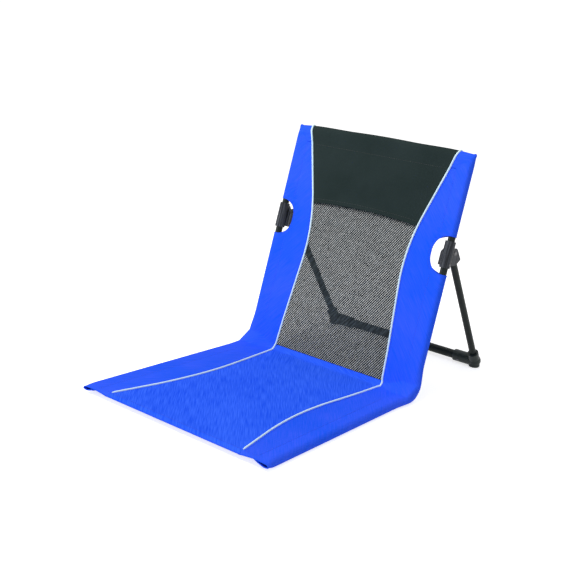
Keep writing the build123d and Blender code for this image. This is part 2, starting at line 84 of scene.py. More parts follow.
# The bend of the cover over the hinge
BEND_ZONE = 60.0
FRONT_REACH = 18.0
LUG_BULGE = 0.6
KINK_D = 2.8
KINK_Z = 11.35
HINGE_SEAM = 146.5
BAND_TOP = 0.0

# The piped seams run in from the hinge to a waist, and out again to the seat's front and the back's top
BACK_LENGTH = 490.0
BACK_WAIST = 273.0
BACK_WAIST_X = 120.6
BACK_TOP_X = 191.0
BACK_SEAM_BEND = 76.0
SEAT_WAIST = 250.0
SEAT_WAIST_X = 128.5
SEAT_FRONT_X = 176.7
SEAT_SEAM_BEND = 105.0

# The headrest's hem, and the arch of the rail with the top edge over it
HEM_S = 326.0
HEM_ARCH = 5.0
HEM_HALF = 120.0
CROWN_R = 2644.7
CROWN_S = 481.0
EDGE_RISE = 5.0
EDGE_START = 70.0
EDGE_RUN = 130.0


def mix(a, b, t):
    return a + (b - a) * t


def smooth(t):
    t = min(max(t, 0.0), 1.0)
    return t * t * (3 - 2 * t)


def spread(a, b, count):
    """count values after a, the last of them b."""
    return [mix(a, b, (i + 1) / count) for i in range(count)]


def bezier(a, c, b, t):
    return tuple((1 - t) ** 2 * p + 2 * t * (1 - t) * q + t * t * r for p, q, r in zip(a, c, b))


def seat_at(distance, depth):
    return (HINGE_Y - distance, HINGE_Z - depth)


def back_at(height, depth):
    return (HINGE_Y + height * SIN_R + depth * COS_R, HINGE_Z + height * COS_R - depth * SIN_R)


def bend_corner(depth):
    """Where the seat's line and the back's line at this depth meet."""
    height = -depth * (1 - SIN_R) / COS_R
    return back_at(height, depth)


def eased_seam(q, waist, waist_x, near_x, far_q, far_x, half):
    """The seam's distance from the middle: two straight runs with a soft bend at the waist."""
    near_slope = (near_x - waist_x) / waist
    far_slope = (far_x - waist_x) / (far_q - waist)
    if q < waist - half:
        return waist_x + near_slope * (waist - q)
    if q > waist + half:
        return waist_x + far_slope * (q - waist)
    u = q - waist + half
    return waist_x + near_slope * (half - u) + (near_slope + far_slope) / (4 * half) * u * u


def back_seam(s):
    return eased_seam(s, BACK_WAIST, BACK_WAIST_X, HINGE_SEAM, BACK_LENGTH, BACK_TOP_X, BACK_SEAM_BEND)


def seat_seam(d):
    return eased_seam(d, SEAT_WAIST, SEAT_WAIST_X, HINGE_SEAM, SEAT_LENGTH, SEAT_FRONT_X, SEAT_SEAM_BEND)


def rail(x):
    return CROWN_S - CROWN_R + math.sqrt(CROWN_R * CROWN_R - x * x)


def top_edge(x):
    """The cover's top edge, cut a little straighter than the rail's arch."""
    return rail(x) + SLEEVE_R + EDGE_RISE * smooth((abs(x) - EDGE_START) / EDGE_RUN)


def crown_room(x):
    """The empty cloth between the top edge and the sleeve that would just hold the rail."""
    return top_edge(x) - rail(x) - SLEEVE_R


def cut_half(x, grow=0.0):
    """Half the cut-out's height at x, or that of a line outside it by grow."""
    reach = CUT_R + grow
    share = 1 - (abs(x - CUT_X) / reach) ** CUT_SQUARE
    return reach * share ** (1 / CUT_SQUARE) if share > 0 else 0.0


class Row:
    """One line across the cover; zone and value say where on the way from the seat's front to the top."""

    def __init__(self, zone, value, seam, tube, way):
        self.zone = zone
        self.value = value
        self.seam = seam
        self.tube = tube
        self.way = way


def seat_row(zone, value, d):
    return Row(zone, value, seat_seam(d), TUBE_X + SEAT_FLARE * d / SEAT_LENGTH, -d)


def back_row(zone, value, s):
    return Row(zone, value, back_seam(s), TUBE_X, s)


# Rows stand close together at the front hem, and HINGE_WAY is half the cloth's length over the hinge
FRONT_STEPS = [SEAT_LENGTH - inset for inset in (0.0, 3.0, 7.0, 12.0, 18.0)]
SEAT_START = 420.0
HINGE_WAY = 20.0
ROW_COUNTS = {"seat": 45, "approach": 7, "hinge": 16, "leave": 7, "back": 17, "cut": 10, "top": 11}


def shares_of(zone):
    return spread(0.0, 1.0, ROW_COUNTS[zone])


def lower_rows():
    seat_steps = FRONT_STEPS + spread(SEAT_START, BEND_ZONE, ROW_COUNTS["seat"])
    rows = [seat_row("seat", d, d) for d in seat_steps]
    rows += [seat_row("approach", p, mix(BEND_ZONE, HINGE_WAY, p)) for p in shares_of("approach")]
    rows += [Row("hinge", t, HINGE_SEAM, TUBE_X, mix(-HINGE_WAY, HINGE_WAY, t)) for t in shares_of("hinge")]
    rows += [back_row("leave", p, mix(HINGE_WAY, BEND_ZONE, p)) for p in shares_of("leave")]
    rows += [back_row("back", s, s) for s in spread(BEND_ZONE, CUT_LOW, ROW_COUNTS["back"])]
    rows += [back_row("below", p, mix(CUT_LOW, CUT_S, p)) for p in shares_of("cut")]
    return rows


def upper_rows():
    rows = [back_row("above", p, mix(CUT_S, CUT_HIGH, p)) for p in [0.0] + shares_of("cut")]
    return rows + [back_row("back", s, s) for s in spread(CUT_HIGH, SIDE_TOP, ROW_COUNTS["top"])]


def height_at(row, x):
    """How far up the back this row is at x, where it bends round the cut-out."""
    if row.zone == "below":
        return mix(CUT_LOW, CUT_S - cut_half(x), row.value)
    if row.zone == "above":
        return mix(CUT_S + cut_half(x), CUT_HIGH, row.value)
    return row.value


# A taut cut across the hinge's corner starts past TAUT_FROM, is longer on the seat and shorter on the back
TAUT_FROM = 6.0
TAUT_RUN = 11.0
SEAT_STRETCH = 0.22
BACK_SHRINK = 0.17
CHORD_SHARE = 0.97


def tube_line(row, depth, reach, x):
    """A line of the cover that keeps its depth along the tubes and cuts the hinge's corner.

    A long reach gives a taut straight cut, and a short one gives a round bend.
    """
    taut = smooth((reach - TAUT_FROM) / TAUT_RUN)
    seat_reach = reach * (1 + SEAT_STRETCH * taut)
    back_reach = reach * (1 - BACK_SHRINK * taut)
    if row.zone == "seat":
        return seat_at(row.value, depth)
    if row.zone == "approach":
        return seat_at(mix(BEND_ZONE, seat_reach, row.value), depth)
    if row.zone == "hinge":
        start = seat_at(seat_reach, depth)
        end = back_at(back_reach, depth)
        curve = bezier(start, bend_corner(depth), end, row.value)
        chord = tuple(mix(a, b, row.value) for a, b in zip(start, end))
        return tuple(mix(a, b, CHORD_SHARE * taut) for a, b in zip(curve, chord))
    if row.zone == "leave":
        return back_at(mix(back_reach, BEND_ZONE, row.value), depth)
    return back_at(height_at(row, x), depth)


# The seat's dip towards the hinge, and the seam's sharp turn there
DIP_START = 40.0
DIP_RUN = 260.0
KINK_EASE = 4.0
TURN_SHARE = 0.35
TURN_AT = 0.625


def seat_sag(d):
    """The seat's height at the seams: it dips a little towards the hinge."""
    return KINK_Z + (HINGE_Z - WEB_DEPTH - KINK_Z) * smooth((d - DIP_START) / DIP_RUN)


def seam_line(row, x=0.0):
    """The seam's own line, with a sharp kink at the hinge."""
    kink = (HINGE_Y - KINK_D, KINK_Z)
    start = (HINGE_Y - KINK_D - KINK_EASE, seat_sag(KINK_D + KINK_EASE))
    end = back_at(BAND_TOP, WEB_DEPTH)
    turn = tuple(mix(a, b, TURN_SHARE) for a, b in zip(kink, end))
    if row.zone == "seat":
        return (HINGE_Y - row.value, seat_sag(row.value))
    if row.zone == "approach":
        d = mix(BEND_ZONE, KINK_D + KINK_EASE, row.value)
        return (HINGE_Y - d, seat_sag(d))
    if row.zone == "hinge":
        if row.value <= TURN_AT:
            return bezier(start, kink, turn, row.value / TURN_AT)
        return tuple(mix(a, b, (row.value - TURN_AT) / (1 - TURN_AT)) for a, b in zip(turn, end))
    if row.zone == "leave":
        return back_at(mix(BAND_TOP, BEND_ZONE, row.value), WEB_DEPTH)
    return back_at(height_at(row, x), WEB_DEPTH)


def facing(row):
    """The direction, in y and z, in which the cover's front faces."""
    if row.zone in ("seat", "approach"):
        return (0.0, 1.0)
    if row.zone == "hinge":
        return (-COS_R * row.value, mix(1.0, SIN_R, row.value))
    return (-COS_R, SIN_R)


# Waves of tight cloth: length across, length along, height and place in the noise
BROAD_WAVE = (85.0, 120.0, 0.55, 3.7)
FINE_WAVE = (26.0, 34.0, 0.16, 9.1)
PUCKER_WAVE = (13.0, 70.0, 0.95, 5.3)
PUCKER_WAY = 75.0


def wave_height(x, way, wave):
    across_it, along_it, height, place = wave
    return height * noise.noise(Vector((x / across_it, way / along_it, place)))


def ripple(x, way):
    """The small unevenness of tight cloth, in millimetres, with puckers near the hinge."""
    near = math.exp(-(way / PUCKER_WAY) ** 2)
    pucker = near * wave_height(x, way, PUCKER_WAVE)
    return wave_height(x, way, BROAD_WAVE) + wave_height(x, way, FINE_WAVE) + pucker


# Columns beside a seam, and those inside the tunnel's stitch line, from the cut-out's inner tip outwards
SEAM_NEAR = 1.6
SEAM_FAR = 4.0
WEB_COLUMNS = 9
EDGE_STEP = 11.5
WEB_STEPS = [11.2, 10.4, 9.1, 7.3, 5.1, 2.6, 0.0]

# The groove beside the piping, and the front hem's fold and turned edge
GROOVE_DEPTH = 0.9
GROOVE_HALF = 2.4
HEM_FOLD = 433.0
HEM_FOLD_RUN = 5.0
HEM_PROUD = 0.7
HEM_EDGE = 438.0
HEM_EDGE_RUN = 8.0
HEM_DROP = 4.2

# How the web rises from the seam to the tunnel on the back
WEB_CURVE = 1.25


def seam_columns(near, far):
    """Places from a seam outwards, close together where the cloth dips into it."""
    width = far - near
    first = [near, near + min(SEAM_NEAR, 0.1 * width), near + min(SEAM_FAR, 0.25 * width)]
    return first + spread(first[-1], far, WEB_COLUMNS)


def groove(distance):
    """How far the cloth sinks beside the piping."""
    return GROOVE_DEPTH * math.exp(-((distance / GROOVE_HALF) ** 2))


def hem_step(row):
    """The front hem is folded over twice, so it stands a little proud, and its edge turns down."""
    if row.zone != "seat":
        return 0.0
    fold = HEM_PROUD * smooth((row.value - HEM_FOLD) / HEM_FOLD_RUN)
    return fold - HEM_DROP * smooth((row.value - HEM_EDGE) / HEM_EDGE_RUN)


def web_columns(row):
    inner = row.tube + SLEEVE_R - TUNNEL
    return seam_columns(row.seam, inner - EDGE_STEP) + [inner - step for step in WEB_STEPS]


def web_point(row, x):
    inner = row.tube + SLEEVE_R - TUNNEL
    t = (x - row.seam) / (inner - row.seam)
    seam = seam_line(row, x)
    tube = tube_line(row, WEB_DEPTH, FRONT_REACH, x)
    share = smooth(t) if row.zone == "seat" else t ** WEB_CURVE
    lift = ripple(x, row.way) * math.sin(math.pi * t) - groove(x - row.seam) + hem_step(row) * (1 - t)
    way = facing(row)
    return tuple(mix(a, b, share) + lift * n for a, b, n in zip(seam, tube, way))


# The tunnel round its tube: each angle from the outer edge, with its reach over the hinge's corner
ARC_REACH = {
    96: 18.0, 72: 19.0, 48: 22.0, 24: 20.0, 0: 16.0,
    -24: 12.0, -48: 8.0, -72: 5.0, -96: 4.0, -121: 4.0,
}
FRONT_SHARES = (0.0, 0.34, 0.67)
REAR_SHARES = (0.3, 0.65, 1.0)

# How far a closed end flattens and moves out, and how loose cloth thins the tunnel
FRONT_CLOSE = 0.42
REAR_CLOSE = 0.75
CLOSE_OUT = 1.2
LOOSE_THIN = 0.5
LOOSE_FULL = 9.0


def between(a, b, t):
    return tuple(mix(p, q, t) for p, q in zip(a, b))


def section(flat=0.0, gap=0.0, length=TUNNEL):
    """The tunnel's points: distance in from the outer edge, rise in front of the tube's axis, hinge reach.

    flat closes the tunnel's end, and gap is the empty cloth outside a bend of the tube.
    """
    arc = []
    for angle, reach in ARC_REACH.items():
        inset = SLEEVE_R * (1 - math.cos(math.radians(angle)))
        rise = SLEEVE_R * math.sin(math.radians(angle))
        rise *= 1 - (FRONT_CLOSE if rise > 0 else REAR_CLOSE) * flat
        thin = 1 - LOOSE_THIN * min(gap / LOOSE_FULL, 1.0) * (1 - min(inset / SLEEVE_R, 1.0))
        arc.append((inset * (1 + gap / SLEEVE_R) - CLOSE_OUT * flat, rise * thin, reach))
    web_end = (length, WEB_RISE, FRONT_REACH)
    flap_end = (length, FLAP_RISE, FRONT_REACH)
    front = [between(web_end, arc[0], t) for t in FRONT_SHARES]
    rear = [between(arc[-1], flap_end, t) for t in REAR_SHARES]
    return front + arc + rear


def bulge(row):
    """The sleeve is fuller over the hinge's lugs."""
    if row.zone == "approach":
        return LUG_BULGE * smooth(row.value)
    if row.zone == "hinge":
        return LUG_BULGE
    return LUG_BULGE * (1 - smooth(row.value)) if row.zone == "leave" else 0.0


# Where the tunnels close towards the seat's front edge
CLOSE_START = 428.0
CLOSE_RUN = 18.0


def sleeve_points(row):
    flat = smooth((row.value - CLOSE_START) / CLOSE_RUN) if row.zone == "seat" else 0.0
    points = []
    for inset, rise, reach in section(flat):
        off = SLEEVE_R - inset
        x = row.tube + off * (1 + bulge(row) if off > 0 else 1)
        points.append((x, *tube_line(row, TUBE_DEPTH - rise, reach, x)))
    return points


# The top corner: heights up the side, the edge's turn, the point it draws out and the tube's bend inside
CORNER_RISES = (0.0, 6.0, 12.0, 17.0, 21.0)
CORNER_ANGLES = (12, 30, 50, 70, 90)
CORNER_TURN = 6.0
CORNER_POINT = 4.0
TUBE_BEND = 14.0


def corner_ring():
    """The cover's outer edge round its top corner: points of (x, height) and the empty cloth there."""
    side = TUBE_X + SLEEVE_R
    turn_x = side - CORNER_TURN
    ring = [(side, SIDE_TOP + rise) for rise in CORNER_RISES]
    base = top_edge(turn_x) - CORNER_TURN
    for degrees in CORNER_ANGLES:
        angle = math.radians(degrees)
        out = CORNER_TURN + CORNER_POINT * math.sin(2 * angle) ** 2
        ring.append((turn_x + out * math.cos(angle), base + out * math.sin(angle)))
    ring += [(x, top_edge(x)) for x in spread(turn_x, side - TUNNEL, 5)]
    bend_x = TUBE_X - TUBE_BEND
    bend_s = rail(bend_x) - TUBE_BEND
    gaps = []
    for x, s in ring:
        loose = x > bend_x and s > bend_s
        corner = math.hypot(x - bend_x, s - bend_s) - TUBE_BEND - SLEEVE_R
        on_top = x <= turn_x
        gaps.append(max(0.0, corner if loose else 0.0, crown_room(x) if on_top else 0.0))
    return list(zip(ring, gaps))


def across(inner, outer, gap):
    """The tunnel's section on the line from an inner point to an outer one, on the back."""
    length = math.dist(inner, outer)
    points = []
    for inset, rise, _ in section(0.0, gap, length):
        t = 1 - inset / length
        x = mix(inner[0], outer[0], t)
        points.append((x, *back_at(mix(inner[1], outer[1], t), TUBE_DEPTH - rise)))
    return points


def crown_points():
    """The tunnel's rows round the top corner and along the top to the seam."""
    inner = TUBE_X + SLEEVE_R - TUNNEL
    rows = [across((inner, SIDE_TOP), outer, gap) for outer, gap in corner_ring()]
    last = back_row("back", SIDE_TOP, SIDE_TOP)
    columns = web_columns(last)[::-1]
    seam_top = seam_top_x()
    for x in columns[1:]:
        t = (x - last.seam) / (inner - last.seam)
        outer_x = mix(seam_top, inner, t)
        rows.append(across((x, SIDE_TOP), (outer_x, top_edge(outer_x)), crown_room(outer_x)))
    return rows


SEAM_TOP_GUESS = 484.0


def seam_top_x():
    """Where the back's seam meets the top edge, from a first guess at its height."""
    return back_seam(top_edge(back_seam(SEAM_TOP_GUESS)))


# The size of a cord's ends; a stitch's rings as place along it, size and rise; points that are merged
CORD_END = 0.45
STITCH_SIDES = 5
STITCH_RINGS = ((-0.5, 0.5, -0.5), (-0.25, 1.0, 0.35), (0.25, 1.0, 0.35), (0.5, 0.5, -0.5))
SAME_POINT = 0.02
NO_LENGTH = 0.001


class Builder:
    """Collects points in millimetres and faces, then makes one object."""

    def __init__(self):
        self.points = []
        self.faces = []
        self.uvs = []

    def add(self, point, uv):
        self.points.append(point)
        self.uvs.append(uv)
        return len(self.points) - 1

    def grid(self, rows, ways):
        """A net of quads; the cloth's own coordinates are its arc length across and ways along."""
        base = len(self.points)
        width = len(rows[0])
        for row, way in zip(rows, ways):
            run = 0.0
            last = row[0]
            start = row[0][0]
            for point in row:
                run += math.dist(last, point)
                last = point
                self.add(point, (start + run, way))
        for r in range(len(rows) - 1):
            for c in range(width - 1):
                a = base + r * width + c
                self.faces.append((a, a + 1, a + 1 + width, a + width))

    def tube(self, path, radius, sides):
        """A round cord along a path, turned as little as possible, thinner at both ends."""
        path = [Vector(p) for p in path]
        tangent = (path[1] - path[0]).normalized()
        side = tangent.orthogonal().normalized()
        rings = []
        run = 0.0
        for i, point in enumerate(path):
            ahead = path[min(i + 1, len(path) - 1)] - path[max(i - 1, 0)]
            ahead.normalize()
            side = (side - ahead * side.dot(ahead)).normalized()
            other = ahead.cross(side)
            run += (point - path[i - 1]).length if i else 0.0
            ring = []
            size = radius * (CORD_END if i in (0, len(path) - 1) else 1.0)
            for k in range(sides):
                angle = math.tau * k / sides
                place = point + size * (math.cos(angle) * side + math.sin(angle) * other)
                ring.append(self.add(tuple(place), (radius * angle, run)))
            rings.append(ring)
        for a, b in zip(rings, rings[1:]):
            for k in range(sides):
                n = (k + 1) % sides
                self.faces.append((a[k], a[n], b[n], b[k]))
        self.faces.append(tuple(reversed(rings[0])))
        self.faces.append(tuple(rings[-1]))

    def stitch(self, middle, along, out, length, radius):
        """One thread stitch that lies on a surface, rounded and sunk at both ends."""
        middle = Vector(middle)
        along = Vector(along).normalized()
        out = Vector(out).normalized()
        across_it = along.cross(out).normalized()
        rings = []
        for place, size, rise in STITCH_RINGS:
            centre = middle + along * length * place + out * radius * rise
            ring = []
            for k in range(STITCH_SIDES):
                angle = math.tau * k / STITCH_SIDES
                spot = centre + radius * size * (math.cos(angle) * across_it + math.sin(angle) * out)
                ring.append(self.add(tuple(spot), (angle, place * length)))
            rings.append(ring)
        for a, b in zip(rings, rings[1:]):
            for k in range(STITCH_SIDES):
                n = (k + 1) % STITCH_SIDES
                self.faces.append((a[k], a[n], b[n], b[k]))
        self.faces.append(tuple(reversed(rings[0])))
        self.faces.append(tuple(rings[-1]))

    def stitches(self, path, out, pitch=4.4, length=3.0, radius=0.4):
        """A row of stitches at an even pitch along a path."""
        path = [Vector(point) for point in path]
        left = pitch / 2
        for a, b in zip(path, path[1:]):
            step = (b - a).length
            while left < step:
                self.stitch(a.lerp(b, left / step), b - a, out, length, radius)
                left += pitch
            left -= step

    def mesh(self, name, flip, wound):
        """The mesh, with its faces turned one way unless they are wound so already."""
        mesh = bpy.data.meshes.new(name)
        mesh.from_pydata([(flip * x * MM, y * MM, z * MM) for x, y, z in self.points], [], self.faces)
        layer = mesh.uv_layers.new(name="cloth")
        for loop in mesh.loops:
            u, v = self.uvs[loop.vertex_index]
            layer.data[loop.index].uv = (u * MM, v * MM)
        work = bmesh.new()
        work.from_mesh(mesh)
        bmesh.ops.remove_doubles(work, verts=work.verts, dist=SAME_POINT * MM)
        bmesh.ops.dissolve_degenerate(work, edges=work.edges, dist=NO_LENGTH * MM)
        if not wound:
            bmesh.ops.recalc_face_normals(work, faces=work.faces)
        work.to_mesh(mesh)
        work.free()
        return mesh

    def make(self, name, material, flip=1, levels=0, thickness=0.0, wound=False):
        mesh = self.mesh(name, flip, wound)
        mesh.materials.append(material)
        piece = bpy.data.objects.new(name, mesh)
        bpy.context.scene.collection.objects.link(piece)
        if levels:
            rounder = piece.modifiers.new("round", "SUBSURF")
            rounder.levels = levels
        if thickness:
            thicker = piece.modifiers.new("thick", "SOLIDIFY")
            thicker.thickness = thickness * MM
            thicker.offset = 0.0
        if levels or thickness:
            graph = bpy.context.evaluated_depsgraph_get()
            final = bpy.data.meshes.new_from_object(piece.evaluated_get(graph))
            piece.modifiers.clear()
            piece.data = final
        piece.data.polygons.foreach_set("use_smooth", [True] * len(piece.data.polygons))
        return piece


# Materials
class Shader:
    """A node material round one Principled shader."""

    def __init__(self, name, **sockets):
        self.material = bpy.data.materials.new(name)
        self.material.use_nodes = True
        self.tree = self.material.node_tree
        self.shader = self.tree.nodes["Principled BSDF"]
        for key, value in sockets.items():
            self.shader.inputs[key.replace("_", " ").title().replace("Ior", "IOR")].default_value = value

    def node(self, kind, **settings):
        made = self.tree.nodes.new(kind)
        for key, value in settings.items():
            if key in made.inputs:
                made.inputs[key].default_value = value
            else:
                setattr(made, key, value)
        return made

    def link(self, a, b):
        self.tree.links.new(a, b)

    def cloth(self):
        return self.node("ShaderNodeUVMap", uv_map="cloth").outputs["UV"]

    def place(self):
        return self.node("ShaderNodeTexCoord").outputs["Object"]

    def slanted(self, vector, degrees, stretch):
        """The same coordinates turned, and drawn out along the turned second axis."""
        made = self.node("ShaderNodeMapping", vector_type="TEXTURE")
        made.inputs["Rotation"].default_value = (0.0, 0.0, math.radians(degrees))
        made.inputs["Scale"].default_value = (1.0, stretch, 1.0)
        self.link(vector, made.inputs["Vector"])
        return made.outputs["Vector"]

    def noise(self, vector, scale, detail=3.0):
        made = self.node("ShaderNodeTexNoise", Scale=scale, Detail=detail)
        self.link(vector, made.inputs["Vector"])
        return made.outputs["Fac"]

    def wave(self, vector, scale, direction, distortion):
        made = self.node("ShaderNodeTexWave", Scale=scale, Distortion=distortion)
        made.bands_direction = direction
        self.link(vector, made.inputs["Vector"])
        return made.outputs["Fac"]

    def maths(self, operation, a, b):
        made = self.node("ShaderNodeMath", operation=operation)
        for socket, value in zip(made.inputs, (a, b)):
            if isinstance(value, (int, float)):
                socket.default_value = value
            else:
                self.link(value, socket)
        return made.outputs[0]

    def ramp(self, factor, stops):
        made = self.node("ShaderNodeValToRGB")
        points = made.color_ramp.elements
        while len(points) < len(stops):
            points.new(0.5)
        for point, (place, colour) in zip(points, stops):
            point.position = place
            point.color = (*colour, 1.0)
        self.link(factor, made.inputs["Fac"])
        return made.outputs["Color"]

    def colour(self, factor, stops):
        self.link(self.ramp(factor, stops), self.shader.inputs["Base Color"])

    def rough(self, factor, low, high):
        made = self.node("ShaderNodeMapRange")
        made.inputs["To Min"].default_value = low
        made.inputs["To Max"].default_value = high
        self.link(factor, made.inputs["Value"])
        self.link(made.outputs["Result"], self.shader.inputs["Roughness"])

    def bump(self, height, strength, distance):
        made = self.node("ShaderNodeBump", Strength=strength, Distance=distance)
        self.link(height, made.inputs["Height"])
        self.link(made.outputs["Normal"], self.shader.inputs["Normal"])


# A wave texture repeats once in this length divided by its scale, and a diagonal one once in twice that
WAVE_LENGTH = math.tau / 20
TWIST = 13.823

# The slant of the cloth's ribs and of the mesh's yarns, in degrees
RIB_SLANT = 42.0
YARN_SLANT = -36.0


def woven(name, dark, light, ridge, streaks=0.0):
    """Cloth with fine grain, uneven dye, soft ridges both ways ridge millimetres apart and slanting ribs."""
    made = Shader(name, specular_ior_level=0.06)
    uv = made.cloth()
    across_it = made.wave(uv, WAVE_LENGTH / (ridge * MM), "X", 0.6)
    along_it = made.wave(uv, WAVE_LENGTH / (ridge * MM), "Y", 0.6)
    ridges = made.maths("MAXIMUM", across_it, along_it)
    cloudy = made.noise(uv, 6.0, 5.0)
    yarns = made.noise(uv, 900.0, 2.0)
    tone = made.maths("ADD", made.maths("MULTIPLY", cloudy, 0.75), made.maths("MULTIPLY", yarns, 0.25))
    if streaks:
        ribs = made.noise(made.slanted(uv, RIB_SLANT, 24.0), 560.0, 1.0)
        plain = made.maths("MULTIPLY", tone, 1 - streaks)
        tone = made.maths("ADD", plain, made.maths("MULTIPLY", ribs, streaks))
    made.colour(tone, [(0.37, dark), (0.63, light)])
    made.rough(yarns, 0.68, 0.9)
    made.bump(made.maths("ADD", ridges, made.maths("MULTIPLY", yarns, 0.4)), 0.35, 0.00025)
    return made.material


def painted_tube():
    made = Shader("black_tube", specular_ior_level=0.14)
    where = made.place()
    peel = made.noise(where, 650.0, 2.0)
    dust = made.noise(where, 38.0, 5.0)
    made.colour(dust, [(0.3, (0.008, 0.013, 0.012)), (0.72, (0.016, 0.022, 0.021))])
    made.rough(dust, 0.3, 0.45)
    made.bump(peel, 0.12, 0.0003)
    return made.material


def moulded(name, dark, light, grain, low, high):
    made = Shader(name, specular_ior_level=0.25)
    where = made.place()
    fine = made.noise(where, grain, 3.0)
    broad = made.noise(where, 45.0, 4.0)
    made.colour(broad, [(0.3, dark), (0.7, light)])
    made.rough(fine, low, high)
    made.bump(fine, 0.25, 0.0002)
    return made.material


def ribbed_plastic_painted_highlights():
    """The clamps' plastic, with painted highlights and painted shade as light and dark streaks along their
    ribs.
    """
    made = Shader("ribbed_plastic_painted_highlights", specular_ior_level=0.16)
    where = made.place()
    drawn = made.node("ShaderNodeMapping", vector_type="TEXTURE")
    drawn.inputs["Rotation"].default_value = (-RECLINE, 0.0, 0.0)
    drawn.inputs["Scale"].default_value = (1.0, 1.0, 14.0)
    made.link(where, drawn.inputs["Vector"])
    streaks = made.noise(drawn.outputs["Vector"], 260.0, 1.0)
    fine = made.noise(where, 900.0, 3.0)
    # Painted highlight and shade: the light streaks stand in for highlights on the ribs, the dark ones for
    # shade between them
    made.colour(streaks, [(0.38, (0.012, 0.014, 0.018)), (0.62, (0.060, 0.066, 0.078))])
    made.rough(fine, 0.3, 0.45)
    made.bump(fine, 0.25, 0.0002)
    return made.material


def dark_steel():
    made = Shader("rivet_steel", metallic=0.9)
    where = made.place()
    lines = made.noise(where, 420.0, 5.0)
    worn = made.noise(where, 120.0, 4.0)
    made.colour(worn, [(0.35, (0.06, 0.06, 0.065)), (0.75, (0.20, 0.20, 0.21))])
    made.rough(lines, 0.28, 0.52)
    made.bump(lines, 0.1, 0.0001)
    return made.material


def yarn_mesh():
    made = Shader("mesh_cloth", specular_ior_level=0.1)
    uv = made.cloth()
    cell = made.noise(made.slanted(uv, YARN_SLANT, 7.0), 300.0, 1.0)
    fibre = made.noise(uv, 1900.0, 3.0)
    dark = (0.009, 0.014, 0.016)
    medium = (0.020, 0.028, 0.031)
    light = (0.040, 0.054, 0.059)
    made.colour(cell, [(0.36, dark), (0.5, medium), (0.64, light)])
    made.rough(fibre, 0.55, 0.85)
    made.bump(fibre, 0.4, 0.0003)
    return made.material


def cord_tape():
    made = Shader("piping_cord", specular_ior_level=0.2)
    uv = made.cloth()
    twist = made.wave(uv, 2 * WAVE_LENGTH / (TWIST * MM), "DIAGONAL", 0.5)
    soil = made.noise(uv, 60.0, 4.0)
    made.colour(soil, [(0.3, (0.64, 0.87, 1.0)), (0.7, (0.78, 0.95, 1.0))])
    made.rough(twist, 0.5, 0.75)
    made.bump(twist, 0.5, 0.0003)
    return made.material


def thread(name, dark, light):
    made = Shader(name, specular_ior_level=0.4)
    uv = made.cloth()
    twist = made.wave(uv, 120.0, "DIAGONAL", 1.0)
    made.colour(made.noise(uv, 300.0), [(0.3, dark), (0.7, light)])
    made.rough(twist, 0.45, 0.7)
    made.bump(twist, 0.3, 0.0001)
    return made.material


blue_side = woven("blue_side", (0.005, 0.094, 0.90), (0.040, 0.114, 0.97), 5.65487, 0.36)
blue_seat = woven("blue_seat", (0.010, 0.082, 0.86), (0.038, 0.148, 1.0), 5.65487, 0.66)
dark_cloth = woven("dark_cloth", (0.0135, 0.0235, 0.0225), (0.0215, 0.034, 0.034), 6.28319)
mesh_yarn = yarn_mesh()
piping_tape = cord_tape()
blue_thread = thread("blue_thread", (0.012, 0.07, 0.66), (0.022, 0.11, 0.88))
dark_thread = thread("dark_thread", (0.018, 0.022, 0.022), (0.045, 0.052, 0.05))
CAD_MATERIALS = {
    "black_tube": painted_tube(),
    "black_plastic": moulded("black_plastic", (0.018, 0.026, 0.024), (0.034, 0.045, 0.042), 900.0,
                             0.26, 0.42),
    "nylon": moulded("nylon", (0.60, 0.60, 0.56), (0.74, 0.74, 0.70), 500.0, 0.4, 0.55),
    "rivet_steel": dark_steel(),
}
for subpart in frame["record"]["subparts"]:
    if subpart["material_slot"] in CAD_MATERIALS:
        data = nodes[subpart["node"]].data
        data.materials.clear()
        data.materials.append(CAD_MATERIALS[subpart["material_slot"]])
clamp_plastic = ribbed_plastic_painted_highlights()
for side in SIDES:
    clamp_materials = nodes[f"pivot_clamp_{side}"].data.materials
    clamp_materials.clear()
    clamp_materials.append(clamp_plastic)


def bend(piece):
    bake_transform(piece)


# Side covers: the blue cloth that runs in one piece from the seat's front, over the hinge, to the top
LOWER = lower_rows()
UPPER = upper_rows()
CROWN_WAY = 2.0


def cover_row(row):
    web = [(x, *web_point(row, x)) for x in web_columns(row)]
    return web + sleeve_points(row)[1:]


for side, sign in SIDES.items():
    cover = Builder()
    cover.grid([cover_row(row) for row in LOWER], [row.way for row in LOWER])
    cover.grid([cover_row(row) for row in UPPER], [row.way for row in UPPER])
    crown = crown_points()
    cover.grid(crown, [SIDE_TOP + CROWN_WAY * i for i in range(len(crown))])
    piece = cover.make(f"cover_side_{side}", blue_side, sign, levels=1, thickness=CLOTH)
    bend(piece)
    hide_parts(f"seat_side_panel_{side}", f"back_side_panel_{side}")

# Seat middle: one panel between the piped seams, up to a narrow band under the mesh
CENTRE_SHARES = spread(-1.0, 1.0, 40)[:-1]
SEAM_CLEAR = 0.2

# The band's upper edge is tucked behind the mesh: height above the band, depth behind the web
BAND_TUCK = {2.0: 0.9, 4.5: 1.3}
TUCK_CLEAR = 0.8
TUCK_WAYS = [24.0, 27.0]


def centre_columns(reach):
    """Places across a middle panel, close together beside its two seams."""
    body = [share * (reach - SEAM_FAR) for share in [-1.0] + CENTRE_SHARES + [1.0]]
    return [-reach, SEAM_NEAR - reach] + body + [reach - SEAM_NEAR, reach]


def centre_point(row, x):
    share = x / row.seam
    lift = ripple(x, row.way) * (1 - share * share) - groove(row.seam - abs(x)) + hem_step(row)
    y, z = seam_line(row)
    out = facing(row)
    return (x, y + lift * out[0], z + lift * out[1])


